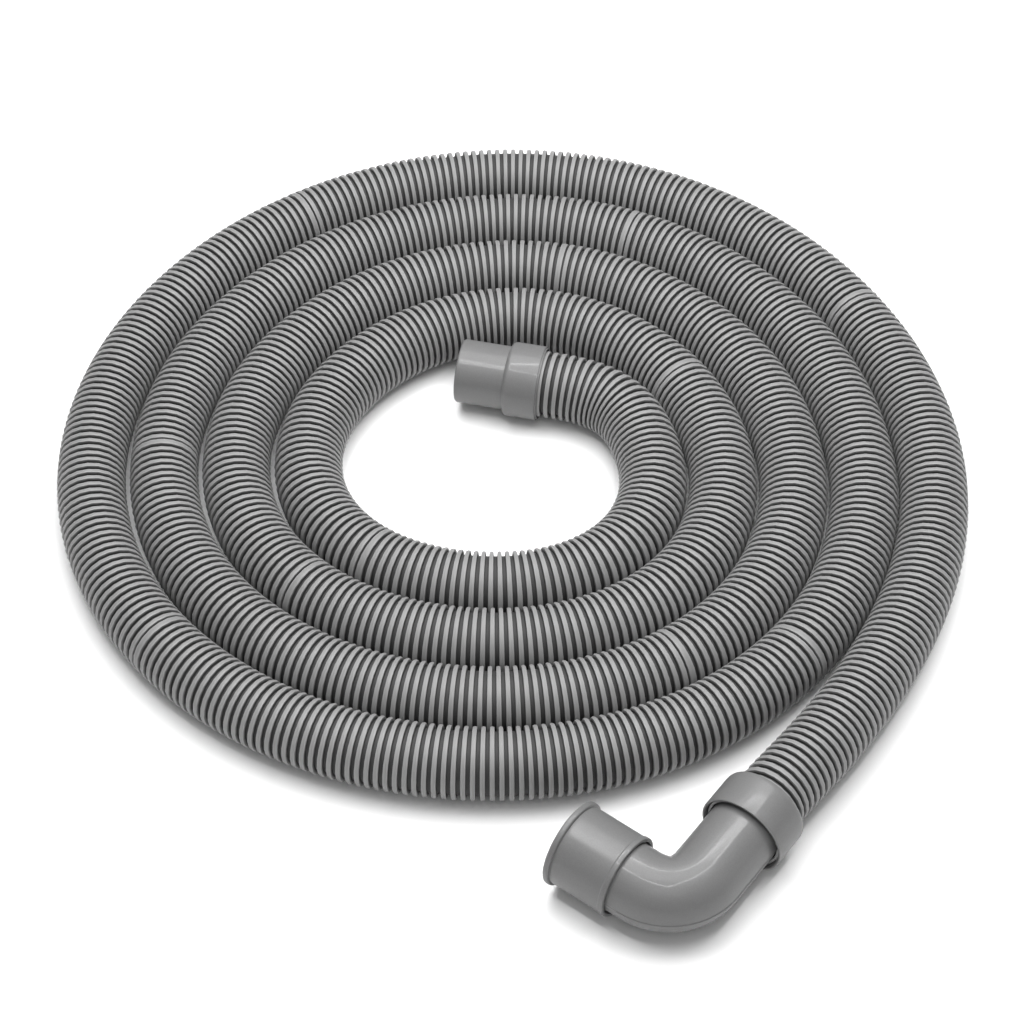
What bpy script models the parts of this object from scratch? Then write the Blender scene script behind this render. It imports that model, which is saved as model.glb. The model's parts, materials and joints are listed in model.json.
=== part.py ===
"""Corrugated drain hose for a caravan, wound in a flat coil.

One end carries a collar with a swivelling elbow and a flared outlet socket, the other a stepped swivel cuff.
Metres, +Z up. The origin is the middle of the object's footprint, on the surface it lies on.
"""

from math import cos, pi, radians, sin

import bmesh
import bpy
from mathutils import Vector

MM = 0.001
COLLECTION = "drain_hose_kit"

# Hose: outside over the rib crests, and wall from crest to the smooth inside.
HOSE_RADIUS = 17.0 * MM
HOSE_WALL = 2.6 * MM
HOSE_BEVEL_RESOLUTION = 4

# Coil: a flat spiral wound inwards, a little out of round, each turn shifted slightly from the last.
COIL_CENTRE = Vector((-13.7 * MM, -9.1 * MM))
COIL_RADIUS = 215.3 * MM
TURN_PITCH = 35.3 * MM
TURN_SHIFT = 0.8 * MM
TURN_SHIFT_HEADING = radians(-12)
TURNS = 4
POINTS_PER_TURN = 28
COIL_START = radians(36.7)
OUT_OF_ROUND = ((2, 2.1 * MM, radians(31)), (3, 1.9 * MM, radians(-5)))

# Lead-in: the loose stretch between the collar and the first turn.
LEAD_JOINS_AT = 0.12
LEAD_HANDLES = (25 * MM, 122 * MM)
LEAD_POINTS = 11

# Inner curl: the last quarter turn, from the coil to the cuff.
CURL_HANDLES = (45 * MM, 22 * MM)
CURL_POINTS = 8
STRAIGHT_RUN = 3.0 * MM

# Elbow: the two leg axes cross at its corner. Distances along a leg are measured from there.
ELBOW_CORNER = COIL_CENTRE + Vector((223.6 * MM, -165.1 * MM))
FITTING_HEIGHT = 20.75 * MM
ELBOW_RADIUS = 17.0 * MM
ELBOW_NECK_RADIUS = 15.8 * MM
ELBOW_WALL = 2.4 * MM
ELBOW_BEND = 20.5 * MM
ELBOW_BEND_STEPS = 8
COLLAR_LEG = 58.4 * MM
OUTLET_LEG = 41.0 * MM
NECK_START = 28.4 * MM
NECK_STEP = 0.6 * MM
HOSE_END_IN_COLLAR = 62.8 * MM
COLLAR_END = 69.4 * MM

# Cuff: distances along it are measured from its open hose end towards its mouth.
CUFF_FOOT = COIL_CENTRE + Vector((-11.7 * MM, 54.5 * MM))
CUFF_HEADING = radians(204)
CUFF_HEIGHT = 19.0 * MM
HOSE_END_IN_CUFF = 12.4 * MM

SEGMENTS = 32
TIGHT_MERGE = 0.00001

GREY_HOSE = ((0.33, 0.33, 0.33, 1.0), 0.45, 0.0)
GREY_FITTING = ((0.25, 0.25, 0.255, 1.0), 0.38, 0.0)
BLACK_RUBBER = ((0.02, 0.02, 0.02, 1.0), 0.7, 0.0)
DARK_PLASTIC = ((0.06, 0.06, 0.065, 1.0), 0.5, 0.0)
WHITE_PLASTIC = ((0.6, 0.6, 0.58, 1.0), 0.5, 0.0)


def clear_scene():
    """Remove every object that the file starts with."""
    for thing in list(bpy.data.objects):
        bpy.data.objects.remove(thing, do_unlink=True)


def new_collection(name):
    """Add a collection to the scene."""
    made = bpy.data.collections.new(name)
    bpy.context.scene.collection.children.link(made)
    return made


def finish(thing, name, look):
    """Give an object its own material, from a colour, a roughness and a metallic value."""
    colour, roughness, metallic = look
    material = bpy.data.materials.new(name)
    material.use_nodes = True
    shader = material.node_tree.nodes["Principled BSDF"]
    shader.inputs["Base Color"].default_value = colour
    shader.inputs["Roughness"].default_value = roughness
    shader.inputs["Metallic"].default_value = metallic
    thing.data.materials.append(material)


def axis_empty(name, place, direction, group):
    """An empty on a joint's axis, with its Z along the direction."""
    empty = bpy.data.objects.new(name, None)
    empty.location = place
    empty.rotation_mode = "QUATERNION"
    empty.rotation_quaternion = direction.to_track_quat("Z", "Y")
    group.objects.link(empty)
    return empty


def turned(name, outline, parent, group):
    """A ring turned about its parent's Z.

    The outline is a closed loop of (radius, distance along) in millimetres: down the outer side, up the inner.
    """
    mesh = bpy.data.meshes.new(name)
    points = [(radius * MM, 0.0, along * MM) for radius, along in outline]
    edges = [(i, (i + 1) % len(points)) for i in range(len(points))]
    mesh.from_pydata(points, edges, [])
    thing = bpy.data.objects.new(name, mesh)
    group.objects.link(thing)
    thing.parent = parent
    screw = thing.modifiers.new("turn", "SCREW")
    screw.axis = "Z"
    screw.angle = 2 * pi
    screw.steps = SEGMENTS
    screw.render_steps = SEGMENTS
    screw.use_merge_vertices = True
    screw.merge_threshold = TIGHT_MERGE
    screw.use_smooth_shade = True
    return thing


def flat_ring(name, inner, outer, start, end, parent, group):
    """A plain ring of rectangular section."""
    return turned(name, [(outer, end), (outer, start), (inner, start), (inner, end)], parent, group)


def round_ring(name, middle, section, along, parent, group, sides=8):
    """A ring of round section, such as an O-ring."""
    angles = [2 * pi * i / sides for i in range(sides)]
    outline = [(middle + section * cos(a), along - section * sin(a)) for a in angles]
    return turned(name, outline, parent, group)


def cut(thing, cutter, operation="DIFFERENCE"):
    """Cut an object with another, or join the other to it."""
    boolean = thing.modifiers.new(operation.lower(), "BOOLEAN")
    boolean.operation = operation
    boolean.object = cutter
    boolean.solver = "EXACT"
    cutter.hide_render = True
    cutter.display_type = "WIRE"


def split_gap(name, ring, radius, along, width, parent, tools):
    """Cut the gap of a split ring, at the top of the ring."""
    bpy.ops.mesh.primitive_cube_add(size=1)
    box = bpy.context.object
    box.name = name
    box.scale = (width * MM, 6 * MM, 6 * MM)
    bpy.ops.object.transform_apply(location=False, rotation=False, scale=True)
    for holder in list(box.users_collection):
        holder.objects.unlink(box)
    tools.objects.link(box)
    box.parent = parent
    box.location = (0.0, radius * MM, along * MM)
    cut(ring, box)


def tube_curve(name, points, radius, resolution, group, radii=None):
    """A round tube with open ends along a list of points."""
    data = bpy.data.curves.new(name, "CURVE")
    data.dimensions = "3D"
    data.twist_mode = "Z_UP"
    data.bevel_depth = radius
    data.bevel_resolution = resolution
    data.use_fill_caps = False
    spline = data.splines.new("POLY")
    spline.points.add(len(points) - 1)
    for i, point in enumerate(points):
        spline.points[i].co = (*point, 1.0)
        spline.points[i].radius = radii[i] if radii else 1.0
    thing = bpy.data.objects.new(name, data)
    group.objects.link(thing)
    return thing


def add_wall(thing, thickness):
    """Turn an open tube into a hollow solid, its wall grown inwards."""
    wall = thing.modifiers.new("wall", "SOLIDIFY")
    wall.thickness = thickness
    wall.offset = -1.0
    wall.use_even_offset = True
    wall.use_rim = True


def curve_to_mesh(curve, name, group):
    """Replace a curve by the mesh of its tube."""
    bpy.context.view_layer.update()
    evaluated = curve.evaluated_get(bpy.context.evaluated_depsgraph_get())
    mesh = bpy.data.meshes.new_from_object(evaluated)
    work = bmesh.new()
    work.from_mesh(mesh)
    bmesh.ops.remove_doubles(work, verts=work.verts, dist=TIGHT_MERGE)
    work.to_mesh(mesh)
    work.free()
    thing = bpy.data.objects.new(name, mesh)
    thing.matrix_world = curve.matrix_world.copy()
    group.objects.link(thing)
    bpy.data.objects.remove(curve, do_unlink=True)
    mesh.shade_smooth()
    return thing


def coil_point(turn):
    """Centre of the hose on the coil, at an angle in radians counted inwards from its first turn's start."""
    heading = COIL_START + turn
    radius = COIL_RADIUS - TURN_PITCH * turn / (2 * pi)
    radius += sum(size * cos(waves * (heading - peak)) for waves, size, peak in OUT_OF_ROUND)
    shift = TURN_SHIFT * turn / (2 * pi)
    x = COIL_CENTRE.x + radius * cos(heading) + shift * cos(TURN_SHIFT_HEADING)
    y = COIL_CENTRE.y + radius * sin(heading) + shift * sin(TURN_SHIFT_HEADING)
    return Vector((x, y, HOSE_RADIUS))


def coil_heading(turn, step=0.001):
    """Unit direction of the coil at an angle along it."""
    return (coil_point(turn + step) - coil_point(turn - step)).normalized()


def bend_between(start, start_heading, end, end_heading, handles, count):
    """Points of a cubic curve between two places, both ends included, rising evenly from one to the other."""
    first = start + start_heading * handles[0]
    last = end - end_heading * handles[1]
    points = []
    for i in range(count + 1):
        s = i / count
        r = 1 - s
        point = r**3 * start + 3 * r * r * s * first + 3 * r * s * s * last + s**3 * end
        points.append(point)
    return points


def hose_route():
    """Centre line of the hose, from its end in the collar to its end in the cuff."""
    collar_axis = Vector((0, 1, 0))
    corner = Vector((*ELBOW_CORNER, FITTING_HEIGHT))
    collar_exit = corner + collar_axis * (COLLAR_END + STRAIGHT_RUN)
    cuff_axis = Vector((cos(CUFF_HEADING), sin(CUFF_HEADING), 0))
    cuff_foot = Vector((*CUFF_FOOT, CUFF_HEIGHT))
    cuff_exit = cuff_foot - cuff_axis * STRAIGHT_RUN
    coil_end = 2 * pi * TURNS
    lead = bend_between(collar_exit, collar_axis, coil_point(LEAD_JOINS_AT),
                        coil_heading(LEAD_JOINS_AT), LEAD_HANDLES, LEAD_POINTS)
    steps = TURNS * POINTS_PER_TURN
    coil = [coil_point(coil_end * i / steps) for i in range(1, steps)]
    curl = bend_between(coil_point(coil_end), coil_heading(coil_end), cuff_exit, cuff_axis,
                        CURL_HANDLES, CURL_POINTS)
    route = [corner + collar_axis * HOSE_END_IN_COLLAR] + lead + coil + curl
    route.append(cuff_foot + cuff_axis * HOSE_END_IN_CUFF)
    return route


def build_hose(group):
    """The corrugated hose, as a plain tube over its rib crests."""
    hose = tube_curve("hose", hose_route(), HOSE_RADIUS, HOSE_BEVEL_RESOLUTION, group)
    add_wall(hose, HOSE_WALL)
    finish(hose, "hose_plastic", GREY_HOSE)


def elbow_route():
    """Points and relative radii of the elbow's tube, from its end in the collar to its end in the outlet."""
    neck = ELBOW_NECK_RADIUS / ELBOW_RADIUS
    steps = [(Vector((0, COLLAR_LEG, 0)), 1.0)]
    for i in range(ELBOW_BEND_STEPS + 1):
        angle = -pi / 2 * i / ELBOW_BEND_STEPS
        steps.append((Vector((ELBOW_BEND * (cos(angle) - 1), ELBOW_BEND * (1 + sin(angle)), 0)), 1.0))
    steps.append((Vector((-NECK_START, 0, 0)), 1.0))
    steps.append((Vector((-NECK_START - NECK_STEP, 0, 0)), neck))
    steps.append((Vector((-OUTLET_LEG, 0, 0)), neck))
    corner = Vector((*ELBOW_CORNER, FITTING_HEIGHT))
    return [corner + place for place, _ in steps], [size for _, size in steps]


def build_elbow(collar_axis, outlet_axis, group, tools):
    """The bent tube, with a bead on each leg that its retaining ring holds."""
    points, radii = elbow_route()
    tube = tube_curve("elbow_tube", points, ELBOW_RADIUS, 6, tools, radii)
    add_wall(tube, ELBOW_WALL)
    elbow = curve_to_mesh(tube, "elbow", group)
    world = elbow.matrix_world.copy()
    elbow.parent = collar_axis
    elbow.matrix_parent_inverse = collar_axis.matrix_world.inverted()
    elbow.matrix_world = world
    cut(elbow, flat_ring("collar_leg_bead", 15.6, 18.6, 53.6, 55.2, collar_axis, tools), "UNION")
    cut(elbow, flat_ring("outlet_leg_bead", 14.6, 17.5, 32.3, 33.9, outlet_axis, tools), "UNION")
    finish(elbow, "elbow_plastic", GREY_FITTING)
    ring = round_ring("elbow_o_ring", 18.1, 0.8, 56.7, collar_axis, group)
    finish(ring, "elbow_o_ring_rubber", BLACK_RUBBER)


def build_collar(collar_axis, group, tools):
    """The collar on the hose's outer end, and the pieces that it holds."""
    outline = [(19.2, 69.4), (20.3, 69.0), (20.75, 67.8), (20.75, 49.8), (20.3, 49.2), (19.3, 49.2),
               (19.3, 50.9), (19.9, 50.9), (19.9, 53.1), (19.3, 53.1), (19.3, 58.9), (14.8, 58.9),
               (14.8, 60.3), (19.3, 60.3), (19.3, 67.2), (17.6, 67.2), (17.6, 69.4)]
    collar = turned("hose_collar", outline, collar_axis, group)
    finish(collar, "hose_collar_plastic", GREY_FITTING)
    retainer = flat_ring("elbow_retaining_ring", 17.6, 19.6, 51.2, 52.8, collar_axis, group)
    split_gap("retainer_gap", retainer, 18.6, 52.0, 4.0, collar_axis, tools)
    finish(retainer, "elbow_retaining_ring_plastic", DARK_PLASTIC)
    sleeve = turned("collar_insert_sleeve", [(13.4, 71.5), (13.4, 61.4), (18.6, 61.4), (18.6, 60.6),
                                             (12.6, 60.6), (12.6, 71.5)], collar_axis, group)
    finish(sleeve, "collar_insert_sleeve_plastic", WHITE_PLASTIC)
    gasket = flat_ring("collar_gasket", 14.4, 18.6, 61.7, 62.5, collar_axis, group)
    finish(gasket, "collar_gasket_rubber", BLACK_RUBBER)
    grip = flat_ring("collar_grip_ring", 17.4, 19.0, 63.8, 66.6, collar_axis, group)
    split_gap("grip_gap", grip, 18.2, 65.2, 5.0, collar_axis, tools)
    finish(grip, "collar_grip_ring_plastic", DARK_PLASTIC)


def build_outlet(outlet_axis, group, tools):
    """The flared outlet socket that turns on the elbow's short leg, and its ring and seals."""
    outline = [(20.75, 58.7), (20.75, 57.3), (19.4, 54.8), (19.4, 27.7), (19.0, 27.1), (18.3, 27.1),
               (18.3, 29.6), (18.8, 29.6), (18.8, 31.8), (18.3, 31.8), (18.3, 41.6), (14.0, 41.6),
               (14.0, 43.2), (17.4, 43.2), (17.4, 54.8), (18.9, 57.3), (18.9, 58.7)]
    socket = turned("outlet_socket", outline, outlet_axis, group)
    finish(socket, "outlet_socket_plastic", GREY_FITTING)
    retainer = flat_ring("outlet_retaining_ring", 16.3, 18.4, 30.0, 31.4, outlet_axis, group)
    split_gap("outlet_gap", retainer, 17.3, 30.7, 4.0, outlet_axis, tools)
    finish(retainer, "outlet_retaining_ring_plastic", DARK_PLASTIC)
    ring = round_ring("outlet_o_ring", 17.05, 0.8, 36.5, outlet_axis, group)
    finish(ring, "outlet_o_ring_rubber", BLACK_RUBBER)
    lip = turned("outlet_lip_seal", [(17.1, 49.6), (17.1, 44.0), (16.0, 44.0), (16.0, 47.0),
                                     (14.6, 48.2), (14.6, 49.0), (15.8, 49.6)], outlet_axis, group)
    finish(lip, "outlet_lip_seal_rubber", BLACK_RUBBER)


def build_cuff(cuff_axis, group, tools):
    """The stepped cuff that turns on the hose's inner end, and the pieces inside it."""
    outline = [(15.9, 42.4), (16.3, 41.8), (16.3, 17.6), (17.4, 17.3), (18.6, 16.4), (19.0, 15.2),
               (19.0, 0.6), (18.6, 0.0), (17.7, 0.0), (17.7, 2.2), (18.45, 2.2), (18.45, 4.6),
               (17.7, 4.6), (17.7, 15.2), (14.0, 15.2), (14.0, 41.8), (14.4, 42.4)]
    cuff = turned("swivel_cuff", outline, cuff_axis, group)
    finish(cuff, "swivel_cuff_plastic", GREY_FITTING)
    retainer = flat_ring("cuff_retaining_ring", 17.35, 18.1, 2.6, 4.2, cuff_axis, group)
    split_gap("cuff_gap", retainer, 17.7, 3.4, 4.0, cuff_axis, tools)
    finish(retainer, "cuff_retaining_ring_plastic", DARK_PLASTIC)
    gasket = flat_ring("cuff_gasket", 14.4, 17.1, 12.8, 13.6, cuff_axis, group)
    finish(gasket, "cuff_gasket_rubber", BLACK_RUBBER)
    sleeve = turned("cuff_insert_sleeve", [(17.1, 14.8), (17.1, 14.0), (13.4, 14.0), (13.4, -1.5),
                                           (12.6, -1.5), (12.6, 14.8)], cuff_axis, group)
    finish(sleeve, "cuff_insert_sleeve_plastic", WHITE_PLASTIC)


def main():
    """Build the hose and its fittings."""
    clear_scene()
    group = new_collection(COLLECTION)
    tools = new_collection("cutters")
    corner = Vector((*ELBOW_CORNER, FITTING_HEIGHT))
    collar_axis = axis_empty("collar_axis", corner, Vector((0, 1, 0)), group)
    outlet_axis = axis_empty("outlet_axis", corner, Vector((-1, 0, 0)), group)
    cuff_direction = Vector((cos(CUFF_HEADING), sin(CUFF_HEADING), 0))
    cuff_axis = axis_empty("cuff_axis", Vector((*CUFF_FOOT, CUFF_HEIGHT)), cuff_direction, group)
    bpy.context.view_layer.update()
    build_hose(group)
    build_collar(collar_axis, group, tools)
    build_elbow(collar_axis, outlet_axis, group, tools)
    build_outlet(outlet_axis, group, tools)
    build_cuff(cuff_axis, group, tools)


main()
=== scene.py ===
"""Looks of a corrugated caravan drain hose, wound in a flat coil, with its swivel fittings.

Metres, +Z up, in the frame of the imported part. Outlines are in millimetres until they are turned.
"""

import json
import logging
from dataclasses import dataclass
from enum import Enum
from math import cos, floor, hypot, pi, radians, sin, tau
from typing import Iterable, Sequence

import bmesh
import bpy
import numpy as np
from mathutils import Matrix, Vector


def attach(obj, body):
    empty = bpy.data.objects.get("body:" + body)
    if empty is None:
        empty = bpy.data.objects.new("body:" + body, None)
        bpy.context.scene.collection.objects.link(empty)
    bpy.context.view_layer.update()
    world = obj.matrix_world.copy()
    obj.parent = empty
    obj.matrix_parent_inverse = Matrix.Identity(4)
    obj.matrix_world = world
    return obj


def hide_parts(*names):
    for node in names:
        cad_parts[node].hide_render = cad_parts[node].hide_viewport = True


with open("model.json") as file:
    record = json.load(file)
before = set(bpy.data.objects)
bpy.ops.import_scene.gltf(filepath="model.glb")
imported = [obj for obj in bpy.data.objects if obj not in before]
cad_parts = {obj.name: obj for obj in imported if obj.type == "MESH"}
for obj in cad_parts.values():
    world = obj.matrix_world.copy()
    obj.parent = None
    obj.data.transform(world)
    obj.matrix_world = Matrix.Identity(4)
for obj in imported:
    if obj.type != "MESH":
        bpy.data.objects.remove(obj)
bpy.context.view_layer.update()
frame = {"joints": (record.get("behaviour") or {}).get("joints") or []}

LOG = logging.getLogger("drain_hose")
MM = 0.001
MERGE_AT = 1e-7
LEVEL_WITHIN = 1e-6
SMOOTH_BELOW = radians(33)
ROUNDING_SHARE = 0.48
CUTTER = 8
CUT_EDGE = 0.12
CUT_EDGES_ABOVE = radians(55)
RING_SIDES = 96
SHELL_SIDES = 128

Outline = list[tuple[float, float]]
Corner = tuple[float, float, float]
Colour = tuple[float, float, float]


class Body(Enum):
    HOSE = "hose_body"
    ELBOW = "elbow_body"
    OUTLET = "outlet_body"
    CUFF = "cuff_body"


class Slot(Enum):
    """The material slots of the record."""

    HOSE = "hose_plastic"
    FITTING = "fitting_plastic"
    SEAL = "seal_rubber"
    RING = "ring_plastic"
    SLEEVE = "sleeve_plastic"


# ---- Places ----


@dataclass(frozen=True)
class Axis:
    """An axis that pieces are turned about, measured in millimetres from its foot."""

    foot: tuple[float, float, float]
    direction: tuple[float, float, float]

    def matrix(self) -> Matrix:
        """Transform from upright at the origin to this axis, with the piece's X level.

        Returns:
            The transform.
        """
        along = Vector(self.direction).normalized()
        level = along.cross(Vector((0, 0, 1))).normalized()
        up = level.cross(along) * -1
        turn = Matrix((level, up, along)).transposed()
        if turn.determinant() < 0:
            turn = Matrix((level, -up, along)).transposed()
        return Matrix.Translation(self.foot) @ turn.to_4x4()

    def at(self, along: float) -> Vector:
        """Point on the axis, so many millimetres from its foot."""
        return Vector(self.foot) + Vector(self.direction).normalized() * along * MM


# A hair off +Z, so that its level side is defined.
UPRIGHT = Axis((0.0, 0.0, 0.0), (0.0, 1e-9, 1.0))


def joint(name: str) -> tuple[Vector, Vector]:
    """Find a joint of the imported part.

    Args:
        name: the joint's name in the record.

    Returns:
        Its place and the unit direction of its axis.
    """
    found = next(row for row in frame["joints"] if row["name"] == name)
    return Vector(found["pos_m"]), Vector(found["axis"]).normalized()


@dataclass(frozen=True)
class Layout:
    collar: Axis
    outlet: Axis
    cuff: Axis
    corner: tuple[float, float, float]

    @classmethod
    def from_joints(cls, cuff_joint_along: float = 10.0) -> "Layout":
        """Work out the axes from the three swivels.

        Args:
            cuff_joint_along: distance of the cuff's swivel from the cuff's open hose end.

        Returns:
            The layout.
        """
        elbow_at, elbow_axis = joint("elbow_swivel")
        outlet_at, outlet_axis = joint("outlet_swivel")
        cuff_at, cuff_axis = joint("cuff_swivel")
        corner = (elbow_at.x, outlet_at.y, elbow_at.z)
        foot = cuff_at - cuff_axis * cuff_joint_along * MM
        return cls(
            collar=Axis(corner, tuple(elbow_axis)),
            outlet=Axis(corner, tuple(outlet_axis)),
            cuff=Axis(tuple(foot), tuple(cuff_axis)),
            corner=corner,
        )


# ---- Modelling with Blender's operators ----


def rounded(corners: Sequence[Corner], steps: int = 5) -> Outline:
    """Round the corners of a closed outline.

    Args:
        corners: (radius, distance along, rounding) of each corner, in order round the outline.
        steps: how many points a rounded corner takes, less one.

    Returns:
        The outline's points.
    """
    points: Outline = []
    for i, (radius, along, rounding) in enumerate(corners):
        if rounding <= 0:
            points.append((radius, along))
            continue
        before = corners[i - 1]
        after = corners[(i + 1) % len(corners)]
        to_before = (before[0] - radius, before[1] - along)
        to_after = (after[0] - radius, after[1] - along)
        long_before = hypot(*to_before)
        long_after = hypot(*to_after)
        reach_before = min(rounding, ROUNDING_SHARE * long_before) / long_before
        reach_after = min(rounding, ROUNDING_SHARE * long_after) / long_after
        first = (radius + to_before[0] * reach_before, along + to_before[1] * reach_before)
        last = (radius + to_after[0] * reach_after, along + to_after[1] * reach_after)
        for step in range(steps + 1):
            s = step / steps
            a, b, c = (1 - s) ** 2, 2 * s * (1 - s), s * s
            points.append((a * first[0] + b * radius + c * last[0], a * first[1] + b * along + c * last[1]))
    return points


def object_mode() -> None:
    """Leave edit mode and deselect every object."""
    if bpy.context.object and bpy.context.object.mode != "OBJECT":
        bpy.ops.object.mode_set(mode="OBJECT")
    bpy.ops.object.select_all(action="DESELECT")


def only(piece: bpy.types.Object) -> None:
    """Make one object the selected and active one.

    Args:
        piece: the object.
    """
    object_mode()
    piece.select_set(True)
    bpy.context.view_layer.objects.active = piece


def select_where(piece: bpy.types.Object, chosen: Iterable[int]) -> int:
    """Add vertices to the selection, in edit mode.

    Args:
        piece: the object being edited.
        chosen: the vertices' numbers.

    Returns:
        How many vertices were chosen.
    """
    work = bmesh.from_edit_mesh(piece.data)
    work.verts.ensure_lookup_table()
    count = 0
    for number in chosen:
        work.verts[number].select = True
        count += 1
    work.select_flush(True)
    bmesh.update_edit_mesh(piece.data)
    return count


def close_shell() -> None:
    """Merge doubles and turn every face outwards, in edit mode."""
    bpy.ops.mesh.select_all(action="SELECT")
    bpy.ops.mesh.remove_doubles(threshold=MERGE_AT)
    bpy.ops.mesh.normals_make_consistent(inside=False)


def apply_modifier(piece: bpy.types.Object, kind: str, **settings: object) -> None:
    """Add a modifier and apply it at once.

    Args:
        piece: the object that it changes.
        kind: the modifier's type.
        settings: its properties.
    """
    only(piece)
    modifier = piece.modifiers.new(kind.lower(), kind)
    for key, value in settings.items():
        setattr(modifier, key, value)
    bpy.ops.object.modifier_apply(modifier=modifier.name)


def settle(piece: bpy.types.Object, name: str, matrix: Matrix | None = None) -> bpy.types.Object:
    """Put a finished piece in its place, leaving its object at the origin, and shade it smooth.

    Args:
        piece: the finished object.
        name: the name that it keeps.
        matrix: the move to its place, where it isn't there yet.

    Returns:
        The same object.
    """
    only(piece)
    if matrix is not None:
        piece.matrix_world = matrix @ piece.matrix_world
    bpy.ops.object.transform_apply(location=True, rotation=True, scale=True)
    bpy.ops.object.shade_smooth_by_angle(angle=SMOOTH_BELOW)
    piece.name = name
    piece.data.name = name
    return piece


class LoopTool:
    """A ring of edges that grows into a turned or bent shell, one extrusion at a time."""

    def __init__(self, radius: float, centre: Vector, direction: Vector, segments: int) -> None:
        """Lay the first ring.

        Args:
            radius: the ring's radius, in metres.
            centre: its centre.
            direction: the axis that it goes round, along X, Y or Z.
            segments: how many sides it has.
        """
        object_mode()
        turn = direction.to_track_quat("Z", "Y").to_euler()
        bpy.ops.mesh.primitive_circle_add(vertices=segments, radius=radius, fill_type="NOTHING",
                                          location=centre, rotation=turn)
        self.piece = bpy.context.object
        bpy.ops.object.transform_apply(location=True, rotation=True, scale=True)
        bpy.ops.object.mode_set(mode="EDIT")
        bpy.ops.mesh.select_mode(type="VERT")
        bpy.ops.mesh.select_all(action="SELECT")
        self.segments = segments
        self.radius = radius
        self.centre = centre.copy()
        self.direction = direction.normalized()

    def reach(self, radius: float, centre: Vector) -> None:
        """Extrude the ring to a new place and radius.

        Args:
            radius: the new radius, in metres.
            centre: the new centre, on the same axis.
        """
        move = centre - self.centre
        bpy.ops.mesh.extrude_region_move(TRANSFORM_OT_translate={"value": tuple(move)})
        ratio = radius / self.radius
        if abs(ratio - 1) > 1e-9:
            scale = tuple(1.0 if abs(part) > 0.5 else ratio for part in self.direction)
            bpy.ops.transform.resize(value=scale, center_override=tuple(centre))
        self.radius = radius
        self.centre = centre.copy()

    def bend(self, pivot: Vector, angle: float, steps: int) -> None:
        """Carry the ring round an upright line.

        Args:
            pivot: a point on the line.
            angle: how far it turns, anticlockwise from above.
            steps: how many rings the bend takes.
        """
        bpy.ops.mesh.spin(steps=steps, angle=-angle, center=tuple(pivot), axis=(0, 0, 1))
        turn = Matrix.Rotation(angle, 3, "Z")
        self.centre = pivot + turn @ (self.centre - pivot)
        self.direction = turn @ self.direction

    def close(self) -> bpy.types.Object:
        """Join the last ring to the first, and leave edit mode.

        Returns:
            The finished shell.
        """
        select_where(self.piece, range(self.segments))
        bpy.ops.mesh.bridge_edge_loops()
        close_shell()
        object_mode()
        return self.piece


def turned(name: str, outline: Outline, axis: Axis, segments: int = RING_SIDES) -> bpy.types.Object:
    """Turn a closed outline about an axis.

    Args:
        name: the piece's name.
        outline: (radius, distance along) of each point, in millimetres.
        axis: the axis that it goes round.
        segments: how many sides the turned piece has.

    Returns:
        The piece, in its place.
    """
    radius, along = outline[0]
    upright = Vector((0, 0, 1))
    tool = LoopTool(radius * MM, upright * along * MM, upright, segments)
    for radius, along in outline[1:]:
        tool.reach(radius * MM, upright * along * MM)
    return settle(tool.close(), name, axis.matrix())


def split_ring(name: str, outline: Outline, axis: Axis, gap: float, facing: float) -> bpy.types.Object:
    """Turn a ring that is open at one place, as a snap ring is.

    Args:
        name: the piece's name.
        outline: its section, in millimetres.
        axis: the axis that it goes round.
        gap: width of its opening, in millimetres.
        facing: where the opening is, anticlockwise round the axis from its level side.

    Returns:
        The piece, in its place.
    """
    middle = sum(radius for radius, _ in outline) / len(outline)
    along = sum(place for _, place in outline) / len(outline)
    ring = turned(name, outline, UPRIGHT)
    object_mode()
    bpy.ops.mesh.primitive_cube_add(size=1.0, location=(0, 0, 0))
    cutter = bpy.context.object
    bpy.ops.object.mode_set(mode="EDIT")
    bpy.ops.mesh.select_all(action="SELECT")
    bpy.ops.transform.resize(value=(CUTTER * MM, gap * MM, CUTTER * MM), center_override=(0, 0, 0))
    bpy.ops.transform.translate(value=(middle * MM, 0, along * MM))
    object_mode()
    only(cutter)
    cutter.matrix_world = Matrix.Rotation(facing, 4, "Z")
    bpy.ops.object.transform_apply(location=True, rotation=True, scale=True)
    apply_modifier(ring, "BOOLEAN", operation="DIFFERENCE", solver="EXACT", object=cutter)
    bpy.data.objects.remove(cutter, do_unlink=True)
    apply_modifier(ring, "BEVEL", width=CUT_EDGE * MM, segments=1, limit_method="ANGLE",
                   angle_limit=CUT_EDGES_ABOVE)
    return settle(ring, name, axis.matrix())


# ---- Shader graphs ----


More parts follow.
